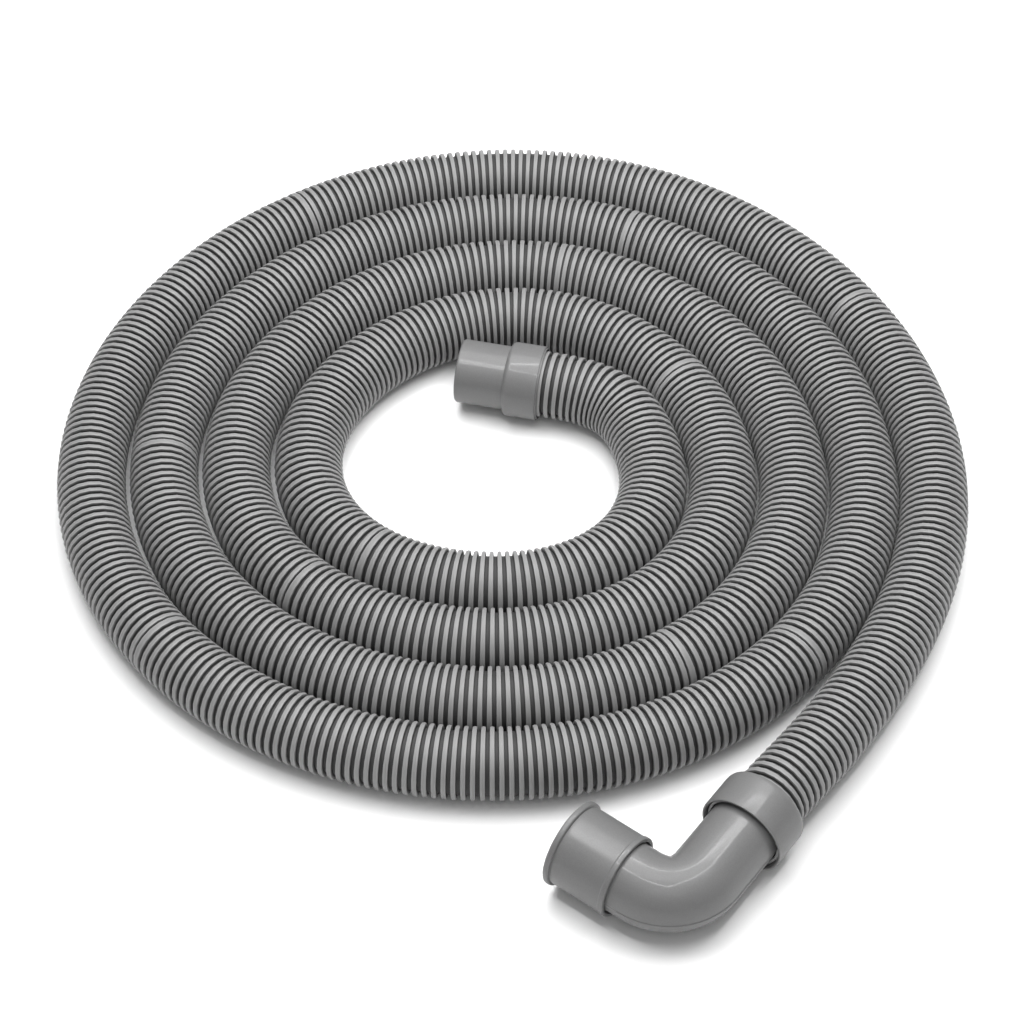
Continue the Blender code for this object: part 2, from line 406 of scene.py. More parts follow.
class Reading:
    """A number on a shader socket, whose arithmetic adds Math nodes."""

    def __init__(self, graph: "Graph", socket: bpy.types.NodeSocket) -> None:
        """Wrap a socket.

        Args:
            graph: the graph that the socket is in.
            socket: an output socket that carries a number.
        """
        self.graph = graph
        self.socket = socket

    def _math(self, operation: str, first: "Reading | float", second: "Reading | float") -> "Reading":
        """Add a Math node.

        Args:
            operation: the node's operation.
            first: its first value.
            second: its second value.

        Returns:
            The result.
        """
        node = self.graph.node("ShaderNodeMath", {"operation": operation}, {0: first, 1: second})
        return Reading(self.graph, node.outputs[0])

    def __add__(self, other: "Reading | float") -> "Reading":
        """Sum."""
        return self._math("ADD", self, other)

    __radd__ = __add__

    def __sub__(self, other: "Reading | float") -> "Reading":
        """Difference."""
        return self._math("SUBTRACT", self, other)

    def __rsub__(self, other: float) -> "Reading":
        """Difference, the other way round."""
        return self._math("SUBTRACT", other, self)

    def __mul__(self, other: "Reading | float") -> "Reading":
        """Product."""
        return self._math("MULTIPLY", self, other)

    __rmul__ = __mul__

    def between(self, low: float, high: float) -> "Reading":
        """Rise smoothly from 0 to 1.

        Args:
            low: the reading at which it leaves 0.
            high: the reading at which it reaches 1.

        Returns:
            The rise.
        """
        sockets = {0: self, 1: low, 2: high, 3: 0.0, 4: 1.0}
        node = self.graph.node("ShaderNodeMapRange", {"interpolation_type": "SMOOTHSTEP"}, sockets)
        return Reading(self.graph, node.outputs[0])


class Graph:
    """The node tree of one finish."""

    def __init__(self, name: str) -> None:
        """Start a material with a Principled shader.

        Args:
            name: the material's name.
        """
        self.material = bpy.data.materials.new(name)
        self.material.use_nodes = True
        self.tree = self.material.node_tree
        self.tree.nodes.clear()
        self.shader = self.node("ShaderNodeBsdfPrincipled")
        self.node("ShaderNodeOutputMaterial", None, {"Surface": self.shader.outputs[0]})
        self.place = self.node("ShaderNodeTexCoord").outputs["Object"]

    def node(self, kind: str, settings: dict | None = None, sockets: dict | None = None) -> bpy.types.Node:
        """Add a node.

        Args:
            kind: the node's type.
            settings: its properties, set first.
            sockets: a value, a reading or an output socket for each of its inputs, by name or number.

        Returns:
            The node.
        """
        made = self.tree.nodes.new(kind)
        for key, value in (settings or {}).items():
            setattr(made, key, value)
        for key, value in (sockets or {}).items():
            self.feed(made.inputs[key], value)
        return made

    def feed(self, socket: bpy.types.NodeSocket, value: object) -> None:
        """Set an input socket, or link it to an output.

        Args:
            socket: the input.
            value: a number, a colour, a reading or an output socket.
        """
        if isinstance(value, Reading):
            value = value.socket
        if isinstance(value, bpy.types.NodeSocket):
            self.tree.links.new(value, socket)
        elif isinstance(value, tuple) and len(value) == 3 and socket.type == "RGBA":
            socket.default_value = (*value, 1.0)
        else:
            socket.default_value = value

    def stretched(self, scale: Sequence[float], turn: float = 0.0) -> bpy.types.NodeSocket:
        """Object coordinates, scaled and turned about Z.

        Args:
            scale: the scale along each axis.
            turn: the turn about Z, in radians.

        Returns:
            The coordinates.
        """
        sockets = {"Vector": self.place, "Rotation": (0.0, 0.0, turn), "Scale": tuple(scale)}
        return self.node("ShaderNodeMapping", None, sockets).outputs[0]

    def noise(self, scale: float, detail: float = 2.0, rough: float = 0.5,
              where: bpy.types.NodeSocket | None = None) -> Reading:
        """A noise texture.

        Args:
            scale: its waves per metre.
            detail: how many octaves it has.
            rough: how strong the finer ones are.
            where: the coordinates it reads, or none for the object's own.

        Returns:
            Its value, about 0.5.
        """
        sockets = {"Vector": where or self.place, "Scale": scale, "Detail": detail, "Roughness": rough}
        return Reading(self, self.node("ShaderNodeTexNoise", None, sockets).outputs[0])

    def attribute(self, name: str) -> Reading:
        """A number stored on the piece's points."""
        return Reading(self, self.node("ShaderNodeAttribute", {"attribute_name": name}).outputs["Fac"])

    def blend(self, factor: "Reading | float", first: object, second: object) -> bpy.types.NodeSocket:
        """Mix two colours.

        Args:
            factor: 0 for the first, 1 for the second.
            first: a colour or an output socket.
            second: a colour or an output socket.

        Returns:
            The mixed colour.
        """
        sockets = {0: factor, 6: first, 7: second}
        return self.node("ShaderNodeMix", {"data_type": "RGBA"}, sockets).outputs[2]

    def bump(self, height: Reading, depth: float, strength: float = 1.0) -> None:
        """Raise the surface's normal by a height.

        Args:
            height: the height, about 0 to 1.
            depth: what a height of 1 stands for, in metres.
            strength: how much of it shows.
        """
        sockets = {"Strength": strength, "Distance": depth, "Height": height}
        made = self.node("ShaderNodeBump", None, sockets)
        self.feed(self.shader.inputs["Normal"], made.outputs[0])

    def constants(self, **values: float) -> None:
        """Set numbers that are the same all over, on the shader's own sockets."""
        for key, value in values.items():
            self.shader.inputs[key.replace("_", " ")].default_value = value


def grey(level: float, warm: float = 0.0) -> Colour:
    """A grey of a linear level, slightly warm or, below 0, cool."""
    return (level * (1 + warm), level, level * (1 - warm))


@dataclass(frozen=True)
class HoseFinish:
    """Blow-moulded hose plastic: clean satin crests with a painted highlight on the rib shoulders, and
    grooves painted far darker as painted shade, with a little settled dust.
    """

    crest: float = 0.208
    # painted shade: the groove colour is far darker than the crest, standing in for the shade in the grooves,
    # with a little dust on top
    root: float = 0.034
    roughness: float = 0.52

    def material(self) -> bpy.types.Material:
        """Build the material.

        Returns:
            The material.
        """
        graph = Graph(Slot.HOSE.value)
        ridge = graph.attribute("ridge")
        seam = graph.attribute("seam")
        clouds = graph.noise(14.0, 3.0, 0.55)
        mottle = graph.noise(160.0, 3.0, 0.6)
        grain = graph.noise(1500.0, 2.0, 0.6)
        crest = graph.blend(clouds.between(0.3, 0.7), grey(self.crest * 0.95, 0.004), grey(self.crest * 1.05))
        crest = graph.blend(mottle.between(0.35, 0.75) * 0.5, crest, grey(self.crest * 0.9, 0.006))
        # painted shade and dust: the grooves take the dark root colour, speckled paler with dust
        groove_dust_and_shade = graph.blend(grain.between(0.45, 0.7) * 0.5, grey(self.root), grey(self.root * 1.35, 0.02))
        # painted highlight: the rib shoulders are painted paler, standing in for the light that catches their
        # edges
        crest = graph.blend(ridge.between(0.85, 1.0) * 0.5, crest, grey(self.crest * 1.3))
        colour = graph.blend(ridge.between(0.25, 0.85), groove_dust_and_shade, crest)
        colour = graph.blend(seam * 0.12, colour, grey(self.crest * 0.7))
        graph.feed(graph.shader.inputs["Base Color"], colour)
        rough = self.roughness + 0.12 * mottle + 0.18 * (1 - ridge) - 0.06
        graph.feed(graph.shader.inputs["Roughness"], rough)
        graph.bump(grain * 0.5 + mottle * 0.5, 0.00006, 0.6)
        graph.constants(IOR=1.48)
        return graph.material


@dataclass(frozen=True)
class MouldedFinish:
    """Injection-moulded fitting plastic: satin, with faint flow marks, handling scuffs, and edges painted
    paler as a painted highlight.
    """

    name: str = Slot.FITTING.value
    tone: float = 0.130
    roughness: float = 0.47
    gloss: float = 0.21
    gloss_roughness: float = 0.11

    def material(self) -> bpy.types.Material:
        """Build the material.

        Returns:
            The material.
        """
        graph = Graph(self.name)
        clouds = graph.noise(22.0, 3.0, 0.5)
        flow = graph.noise(70.0, 4.0, 0.6, graph.stretched((1.0, 1.0, 2.5)))
        scuffs = graph.noise(420.0, 3.0, 0.7, graph.stretched((1.0, 0.12, 1.0), radians(35)))
        peel = graph.noise(520.0, 2.0, 0.5)
        grain = graph.noise(1900.0, 2.0, 0.55)
        edge_highlight = Reading(graph, graph.node("ShaderNodeNewGeometry").outputs["Pointiness"]).between(0.51, 0.57)
        base = graph.blend(clouds, grey(self.tone * 0.93, -0.004), grey(self.tone * 1.07))
        base = graph.blend(flow.between(0.2, 0.8) * 0.2, base, grey(self.tone * 0.8, -0.004))
        base = graph.blend(grain.between(0.35, 0.65) * 0.4, base, grey(self.tone * 1.22))
        base = graph.blend(scuffs.between(0.6, 0.9) * 0.3, base, grey(self.tone * 1.3))
        # painted highlight: sharp edges, found by pointiness, are painted paler, standing in for light caught
        # on rounded edges
        base = graph.blend(edge_highlight * 0.45, base, grey(self.tone * 1.9))
        graph.feed(graph.shader.inputs["Base Color"], base)
        graph.feed(graph.shader.inputs["Roughness"], self.roughness + 0.12 * (clouds - 0.5) + 0.12 * scuffs)
        graph.feed(graph.shader.inputs["Coat Weight"], self.gloss * (0.55 + 0.9 * flow))
        graph.bump(grain * 0.25 + peel * 0.75, 0.00007, 0.6)
        graph.constants(IOR=1.49, Coat_Roughness=self.gloss_roughness)
        return graph.material


@dataclass(frozen=True)
class RubberFinish:
    """Black sealing rubber: matt, with a greasy bloom and a fine grain."""

    name: str = Slot.SEAL.value
    tone: float = 0.018

    def material(self) -> bpy.types.Material:
        """Build the material.

        Returns:
            The material.
        """
        graph = Graph(self.name)
        bloom = graph.noise(240.0, 4.0, 0.65)
        grain = graph.noise(3200.0, 2.0, 0.5)
        base = graph.blend(bloom.between(0.5, 0.8) * 0.5, grey(self.tone), grey(self.tone * 2.6, 0.02))
        graph.feed(graph.shader.inputs["Base Color"], base)
        graph.feed(graph.shader.inputs["Roughness"], 0.5 + 0.25 * bloom)
        graph.bump(grain * 0.7 + bloom * 0.3, 0.00006, 0.6)
        graph.constants(IOR=1.5)
        return graph.material


@dataclass(frozen=True)
class TrimFinish:
    """Plain moulded plastic of the small inner pieces."""

    name: str
    tone: float
    warm: float = 0.0
    roughness: float = 0.42

    def material(self) -> bpy.types.Material:
        """Build the material.

        Returns:
            The material.
        """
        graph = Graph(self.name)
        clouds = graph.noise(90.0, 3.0, 0.6)
        grain = graph.noise(1800.0, 2.0, 0.5)
        darker, paler = grey(self.tone * 0.9, self.warm), grey(self.tone * 1.1, self.warm)
        base = graph.blend(clouds.between(0.3, 0.7), darker, paler)
        graph.feed(graph.shader.inputs["Base Color"], base)
        graph.feed(graph.shader.inputs["Roughness"], self.roughness + 0.15 * (clouds - 0.5))
        graph.bump(grain * 0.6 + clouds * 0.4, 0.00006, 0.5)
        return graph.material


class Finishes:
    def __init__(self) -> None:
        """Build the materials."""
        self.by_slot = {
            Slot.HOSE: HoseFinish().material(),
            Slot.FITTING: MouldedFinish().material(),
            Slot.SEAL: RubberFinish().material(),
            Slot.RING: TrimFinish(Slot.RING.value, 0.38).material(),
            Slot.SLEEVE: TrimFinish(Slot.SLEEVE.value, 0.45, 0.02, 0.38).material(),
        }

    def hang(self, piece: bpy.types.Object, body: Body, slot: Slot, node: str) -> None:
        """Dress a finished piece and hang it on its body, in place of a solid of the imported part.

        Args:
            piece: the finished piece.
            body: the body that it moves with.
            slot: the record's slot for its finish.
            node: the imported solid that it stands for.
        """
        piece.data.materials.clear()
        piece.data.materials.append(self.by_slot[slot])
        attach(piece, body.value)
        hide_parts(node)
        LOG.info("%s: %d faces on %s", piece.name, len(piece.data.polygons), body.value)


# ---- The hose ----


@dataclass(frozen=True)
class CoilRoute:
    """Centre line of the hose: out of the collar, four turns of a flat spiral, and the curl to the cuff."""

    layout: Layout
    centre: tuple[float, float] = (-0.0137, -0.0091)
    coil_radius: float = 0.2153
    turn_pitch: float = 0.0353
    turn_shift: float = 0.0008
    shift_heading: float = radians(-12)
    turns: int = 4
    start: float = radians(36.7)
    out_of_round: tuple[tuple[int, float, float], ...] = ((2, 0.0021, radians(31)), (3, 0.0019, radians(-5)))
    height: float = 0.017
    lead_joins_at: float = 0.12
    lead_handles: tuple[float, float] = (0.025, 0.122)
    curl_handles: tuple[float, float] = (0.045, 0.022)
    starts_along: float = 62.8
    leaves_collar_at: float = 69.4
    ends_along: float = 12.4
    straight_run: float = 3.0

    def coil(self, turn: np.ndarray) -> np.ndarray:
        """Points of the spiral.

        Args:
            turn: angles counted inwards from the first turn's start, in radians.

        Returns:
            One row of X, Y and Z for each angle.
        """
        heading = self.start + turn
        radius = self.coil_radius - self.turn_pitch * turn / tau
        for waves, size, peak in self.out_of_round:
            radius = radius + size * np.cos(waves * (heading - peak))
        shift = self.turn_shift * turn / tau
        x = self.centre[0] + radius * np.cos(heading) + shift * cos(self.shift_heading)
        y = self.centre[1] + radius * np.sin(heading) + shift * sin(self.shift_heading)
        return np.column_stack([x, y, np.full(len(turn), self.height)])

    def coil_direction(self, turn: float, step: float = 0.001) -> np.ndarray:
        """Unit direction of the spiral at one angle.

        Args:
            turn: the angle, counted inwards from the first turn's start.
            step: how far to either side of it the slope is taken.

        Returns:
            X, Y and Z of the direction.
        """
        ends = self.coil(np.array([turn - step, turn + step]))
        along = ends[1] - ends[0]
        return along / np.linalg.norm(along)

    @staticmethod
    def bend(start: np.ndarray, leaving: np.ndarray, end: np.ndarray, arriving: np.ndarray,
             handles: tuple[float, float], count: int) -> np.ndarray:
        """Points of a cubic curve between two places.

        Args:
            start: where it starts.
            leaving: its unit direction there.
            end: where it ends.
            arriving: its unit direction there.
            handles: the lengths of its two handles.
            count: how many points it has.

        Returns:
            The points, both ends included.
        """
        first = start + leaving * handles[0]
        last = end - arriving * handles[1]
        s = np.linspace(0, 1, count)[:, None]
        r = 1 - s
        return r**3 * start + 3 * r * r * s * first + 3 * r * s * s * last + s**3 * end

    def points(self, per_turn: int = 720) -> np.ndarray:
        """The whole centre line, closely sampled.

        Args:
            per_turn: how many points each turn of the coil has.

        Returns:
            One row of X, Y and Z for each point.
        """
        collar = self.layout.collar
        cuff = self.layout.cuff
        out = np.array(collar.direction)
        into = np.array(cuff.direction)
        inside = np.array(collar.at(self.starts_along))
        clear = np.array(collar.at(self.leaves_collar_at + self.straight_run))
        before_cuff = np.array(cuff.at(-self.straight_run))
        last = tau * self.turns
        lead = self.bend(clear, out, self.coil(np.array([self.lead_joins_at]))[0],
                         self.coil_direction(self.lead_joins_at), self.lead_handles, 160)
        coil = self.coil(np.linspace(self.lead_joins_at, last, self.turns * per_turn)[1:-1])
        curl = self.bend(self.coil(np.array([last]))[0], self.coil_direction(last), before_cuff, into,
                         self.curl_handles, 160)
        mouth = np.array(cuff.at(self.ends_along))
        return np.vstack([inside, lead, coil, curl, mouth])


@dataclass
class CoiledHose:
    """The corrugated hose, as rings of ribs and grooves along its route, with a smooth bore."""

    route: CoilRoute
    crest: float = 17.0 * MM
    shoulder: float = 16.65 * MM
    root: float = 14.6 * MM
    bore: float = 13.9 * MM
    seam_depth: float = 2.0 * MM
    rib_pitch: float = 4.13 * MM
    sides: int = 20
    bore_rings: int = 132
    block_ribs: int = 81
    block_first: int = 84
    path_points: int = 280
    crisp_above: float = radians(52)
    length: float = 0.0
    path: Sequence[Sequence[float]] = ()

    def rings(self, length: float) -> list[tuple[float, float, float, float]]:
        """The outer surface's rings, in order along the hose.

        A groove's foot takes two rings, then the rib's shoulder, crest and shoulder. Once in every block of
        the mould, the groove between two ribs is only a shallow line.

        Args:
            length: the hose's length.

        Returns:
            (distance along, radius, ridge, seam) of each ring.
        """
        line_foot = self.crest - self.seam_depth
        plain = ((0.00, self.root, 0.0), (0.40, self.root, 0.0), (0.46, self.shoulder, 1.0),
                 (0.71, self.crest, 0.85), (0.95, self.shoulder, 1.0))
        before = plain[:4] + ((0.98, self.shoulder, 1.0),)
        joined = ((0.04, line_foot, 0.1), (0.21, line_foot, 0.1), (0.27, self.shoulder, 1.0),
                  (0.62, self.crest, 0.85), (0.95, self.shoulder, 1.0))
        count = int(floor(length / self.rib_pitch))
        pitch = length / count
        made = []
        for rib in range(count):
            place = (rib - self.block_first) % self.block_ribs if rib >= self.block_first - 1 else None
            section = {0: joined, self.block_ribs - 1: before}.get(place, plain)
            seam = 1.0 if place == 0 else 0.0
            made += [((rib + share) * pitch, radius, ridge, seam) for share, radius, ridge in section]
        return made

    @staticmethod
    def ring_points(centres: np.ndarray, along: np.ndarray, radii: np.ndarray, sides: int) -> np.ndarray:
        """Points of rings square to a path.

        Args:
            centres: the rings' centres.
            along: the path's unit direction at each.
            radii: the rings' radii.
            sides: how many points each ring has.

        Returns:
            The points, ring by ring.
        """
        level = np.cross(along, (0.0, 0.0, 1.0))
        level /= np.linalg.norm(level, axis=1, keepdims=True)
        up = np.cross(level, along)
        angles = np.arange(sides) * tau / sides
        across, above = np.cos(angles)[None, :, None], np.sin(angles)[None, :, None]
        spread = level[:, None, :] * across + up[:, None, :] * above
        return (centres[:, None, :] + radii[:, None, None] * spread).reshape(-1, 3)

    def build(self, finishes: Finishes) -> bpy.types.Object:
        """Build the hose.


        Returns:
            The hose.
        """
        line = self.route.points()
        travelled = np.concatenate([[0.0], np.cumsum(np.linalg.norm(np.diff(line, axis=0), axis=1))])
        self.length = float(travelled[-1])
        slope = np.gradient(line, travelled, axis=0)
        slope /= np.linalg.norm(slope, axis=1, keepdims=True)

        def at(distances: np.ndarray) -> tuple[np.ndarray, np.ndarray]:
            """Centres and unit directions along the route.

            Args:
                distances: how far along it.

            Returns:
                The centres, and the directions there.
            """
            centres = np.column_stack([np.interp(distances, travelled, line[:, k]) for k in range(3)])
            along = np.column_stack([np.interp(distances, travelled, slope[:, k]) for k in range(3)])
            return centres, along / np.linalg.norm(along, axis=1, keepdims=True)

        rings = np.array(self.rings(self.length))
        turning = np.linalg.norm(np.gradient(slope, travelled, axis=0), axis=1)
        share = np.concatenate([[0.0], np.cumsum(np.sqrt(turning[1:] + 0.5) * np.diff(travelled))])
        shares = np.interp((rings[-1, 0], rings[0, 0]), travelled, share)
        back = np.interp(np.linspace(*shares, self.bore_rings), share, travelled)
        distances = np.concatenate([rings[:, 0], back])
        radii = np.concatenate([rings[:, 1], np.full(self.bore_rings, self.bore)])
        centres, along = at(distances)
        points = self.ring_points(centres, along, radii, self.sides)
        total = len(distances)
        ring = np.arange(total)[:, None]
        side = np.arange(self.sides)[None, :]
        after = (ring + 1) % total
        beside = (side + 1) % self.sides
        faces = np.stack([ring * self.sides + side, after * self.sides + side,
                          after * self.sides + beside, ring * self.sides + beside], axis=-1).reshape(-1, 4)
        mesh = bpy.data.meshes.new("hose_corrugated")
        mesh.from_pydata(points.tolist(), [], faces.tolist())
        hose = bpy.data.objects.new("hose_corrugated", mesh)
        bpy.context.scene.collection.objects.link(hose)
        for name, column in (("ridge", 2), ("seam", 3)):
            values = np.concatenate([rings[:, column], np.full(self.bore_rings, 0.0)])
            held = mesh.attributes.new(name, "FLOAT", "POINT")
            held.data.foreach_set("value", np.repeat(values, self.sides).astype(np.float32))
        only(hose)
        bpy.ops.object.mode_set(mode="EDIT")
        close_shell()
        object_mode()
        only(hose)
        bpy.ops.object.shade_smooth_by_angle(angle=self.crisp_above)
        path_at = np.linspace(0.0, self.length, self.path_points)
        self.path = at(path_at)[0].tolist()
        finishes.hang(hose, Body.HOSE, Slot.HOSE, "hose")
        return hose

    def declare(self) -> None:
        """State the hose's real length.
        """
        exit_point = tuple(self.route.layout.collar.at(self.route.leaves_collar_at))
        2 * self.crest
        LOG.info("hose: %.3f m along its centre line", self.length)


# ---- The fittings ----


@dataclass
class HoseCollar:
    """The collar on the hose's outer end, with the rings, gasket and sleeve that it holds."""

    axis: Axis
    finishes: Finishes
    retainer_gap: float = 4.0
    grip_gap: float = 5.0
    gaps_face: float = radians(-10)

    def build(self) -> None:
        """Build and place every piece of the collar."""
        shell = turned("collar_shell", rounded([
            (19.2, 68.3, 0.3), (20.1, 68.3, 0.6), (20.75, 66.6, 1.4), (20.75, 48.4, 0.85), (19.8, 48.4, 0.2),
            (19.0, 49.3, 0.3), (19.0, 50.9, 0), (19.9, 50.9, 0), (19.9, 53.1, 0), (19.3, 53.1, 0),
            (19.3, 58.9, 0.3), (14.8, 58.9, 0.3), (14.8, 60.3, 0.3), (19.3, 60.3, 0.3), (19.3, 66.8, 0.3),
            (17.5, 67.0, 0.3), (17.5, 68.3, 0.3)]), self.axis, SHELL_SIDES)
        self.finishes.hang(shell, Body.HOSE, Slot.FITTING, "hose_collar")
        retainer = split_ring("collar_snap_ring", rounded([
            (19.6, 52.8, 0.2), (19.6, 51.2, 0.2), (18.8, 51.2, 0.1), (18.8, 50.2, 0.3), (17.6, 50.2, 0.3),
            (17.6, 52.8, 0.2)], 3), self.axis, self.retainer_gap, self.gaps_face)
        self.finishes.hang(retainer, Body.HOSE, Slot.RING, "elbow_retaining_ring")
        sleeve = turned("collar_sleeve", rounded([
            (13.4, 71.5, 0.3), (13.4, 68.6, 0), (13.7, 67.8, 0.1), (13.4, 67.0, 0), (13.4, 65.4, 0),
            (13.7, 64.6, 0.1), (13.4, 63.8, 0), (13.4, 61.4, 0.2), (18.6, 61.4, 0.2), (18.6, 60.6, 0.2),
            (12.6, 60.6, 0.3), (12.6, 71.5, 0.3)], 3), self.axis)
        self.finishes.hang(sleeve, Body.HOSE, Slot.SLEEVE, "collar_insert_sleeve")
        gasket = turned("collar_gasket_ring", rounded([
            (14.4, 62.5, 0.15), (14.4, 61.7, 0.15), (18.6, 61.7, 0.15), (18.6, 62.5, 0.15)], 3), self.axis)
        self.finishes.hang(gasket, Body.HOSE, Slot.SEAL, "collar_gasket")
        grip = split_ring("collar_grip", rounded([
            (19.0, 66.6, 0.2), (19.0, 63.8, 0.2), (17.4, 63.8, 0.2), (17.7, 64.7, 0.1), (17.4, 65.2, 0.1),
            (17.7, 66.1, 0.1), (17.4, 66.6, 0.1)], 3), self.axis, self.grip_gap, self.gaps_face)
        self.finishes.hang(grip, Body.HOSE, Slot.RING, "collar_grip_ring")


@dataclass
class SwivelElbow:
    """The bent tube between the collar and the outlet, with a snap bead and an O-ring on each leg."""

    layout: Layout
    finishes: Finishes
    outer: float = 17.0
    bend_radius: float = 20.5
    bend_steps: int = 24
    sides: int = 96
    throat_from: float = 0.25
    throat_full: float = 0.85
    throat_share: float = 0.45
    seam_half_width: float = 0.4
    seam_height: float = 0.42
    o_ring: float = 0.8
    o_ring_sides: int = 16
    on_surface: float = 0.05

    def build(self) -> None:
        """Build and place the elbow and its O-rings."""
        tube = self.tube()
        self.sharpen_throat(tube)
        self.raise_seam(tube)
        settle(tube, "elbow_tube")
        self.finishes.hang(tube, Body.ELBOW, Slot.FITTING, "elbow")
        for name, axis, middle, along, node in (
                ("elbow_o_ring_seal", self.layout.collar, 18.1, 56.7, "elbow_o_ring"),
                ("outlet_o_ring_seal", self.layout.outlet, 17.05, 36.5, "outlet_o_ring")):
            angles = (tau * i / self.o_ring_sides for i in range(self.o_ring_sides))
            outline = [(middle + self.o_ring * cos(a), along - self.o_ring * sin(a)) for a in angles]
            ring = turned(name, outline, axis)
            self.finishes.hang(ring, Body.ELBOW, Slot.SEAL, node)

    def tube(self) -> bpy.types.Object:
        """Grow the hollow tube: down the collar leg, round the bend, along the outlet leg, and back inside.

        Returns:
            The closed shell.
        """
        corner = Vector(self.layout.corner)
        towards_hose = Vector(self.layout.collar.direction)
        towards_mouth = Vector(self.layout.outlet.direction)
        pivot = corner + (towards_hose + towards_mouth) * self.bend_radius * MM
        collar_leg = [(16.6, 58.4), (17.0, 58.0), (17.0, 55.4), (18.3, 55.2), (18.6, 54.9), (18.6, 53.9),
                      (18.3, 53.6), (17.0, 53.4), (17.0, 46.0), (17.0, 36.0), (17.0, 26.0),
                      (17.0, self.bend_radius)]
        outlet_leg = [(17.0, 24.0), (17.0, 28.2), (16.8, 28.4), (15.9, 28.8), (15.8, 29.0), (15.8, 32.0),
                      (17.2, 32.3), (17.5, 32.6), (17.5, 33.6), (17.2, 33.9), (15.8, 34.2), (15.8, 40.6),
                      (15.4, 41.0), (13.8, 41.0), (13.4, 40.6), (13.4, 29.6), (14.6, 28.0),
                      (14.6, self.bend_radius)]
        back = [(14.6, 36.0), (14.6, 48.0), (14.6, 58.0), (15.0, 58.4)]
        radius, along = collar_leg[0]
        tool = LoopTool(radius * MM, corner + towards_hose * along * MM, towards_hose, self.sides)
        for radius, along in collar_leg[1:]:
            tool.reach(radius * MM, corner + towards_hose * along * MM)
        tool.bend(pivot, -pi / 2, self.bend_steps)
        tool.direction = towards_mouth
        for radius, along in outlet_leg:
            tool.reach(radius * MM, corner + towards_mouth * along * MM)
        tool.bend(pivot, pi / 2, self.bend_steps)
        tool.direction = towards_hose
        for radius, along in back:
            tool.reach(radius * MM, corner + towards_hose * along * MM)
        return tool.close()

    def sharpen_throat(self, tube: bpy.types.Object) -> None:
        """Draw the inside of the bend part of the way to the mitre where the two straight legs would meet.

        Args:
            tube: the closed shell, its bend still a plain arc.
        """
        corner = Vector(self.layout.corner)
        hose = Vector(self.layout.collar.direction)
        mouth = Vector(self.layout.outlet.direction)
        reach = self.bend_radius * MM
        pivot = corner + (hose + mouth) * reach
        for vert in tube.data.vertices:
            arm = vert.co - pivot
            towards_hose = -arm.dot(hose)
            towards_mouth = -arm.dot(mouth)
            if min(towards_hose, towards_mouth) < MERGE_AT:
                continue
            flat = hypot(arm.x, arm.y)
            off = flat - reach
            inwards = -off / max(hypot(off, arm.z), 1e-9)
            s = min(max((inwards - self.throat_from) / (self.throat_full - self.throat_from), 0.0), 1.0)
            weight = self.throat_share * s * s * (3 - 2 * s)
            stretch = flat / max(towards_hose, towards_mouth) - 1
            vert.co.x += arm.x * weight * stretch
            vert.co.y += arm.y * weight * stretch

    def raise_seam(self, tube: bpy.types.Object) -> None:
        """Raise the mould's parting line round the outside of the tube, in the plane of its two legs.

        Args:
            tube: the closed shell.
        """
        corner = Vector(self.layout.corner)
        only(tube)
        bpy.ops.object.mode_set(mode="EDIT")
        for side in (-1, 1):
            bpy.ops.mesh.select_all(action="SELECT")
            bpy.ops.mesh.bisect(plane_co=(0, 0, corner.z + side * self.seam_half_width * MM),
                                plane_no=(0, 0, 1))
        bpy.ops.mesh.select_all(action="DESELECT")
        work = bmesh.from_edit_mesh(tube.data)
        chosen = [vert.index for vert in work.verts if abs(vert.co.z - corner.z) < LEVEL_WITHIN
                  and abs(self.off_centre(vert.co) / MM - self.outer) < self.on_surface]
        found = select_where(tube, chosen)
        bpy.ops.transform.shrink_fatten(value=self.seam_height * MM)
        LOG.info("elbow seam: %d points raised", found)
        object_mode()

    def off_centre(self, place: Vector) -> float:
        """Distance of a point from the tube's centre line.

        Args:
            place: the point.

        Returns:
            The distance, in metres.
        """
        corner = Vector(self.layout.corner)
        hose = Vector(self.layout.collar.direction)
        mouth = Vector(self.layout.outlet.direction)
        reach = self.bend_radius * MM
        arm = place - corner
        up = arm.z
        if arm.dot(hose) >= reach:
            return hypot(arm.dot(mouth), up)
        if arm.dot(mouth) >= reach:
            return hypot(arm.dot(hose), up)
        from_pivot = arm - (hose + mouth) * reach
        return hypot(hypot(from_pivot.x, from_pivot.y) - reach, up)


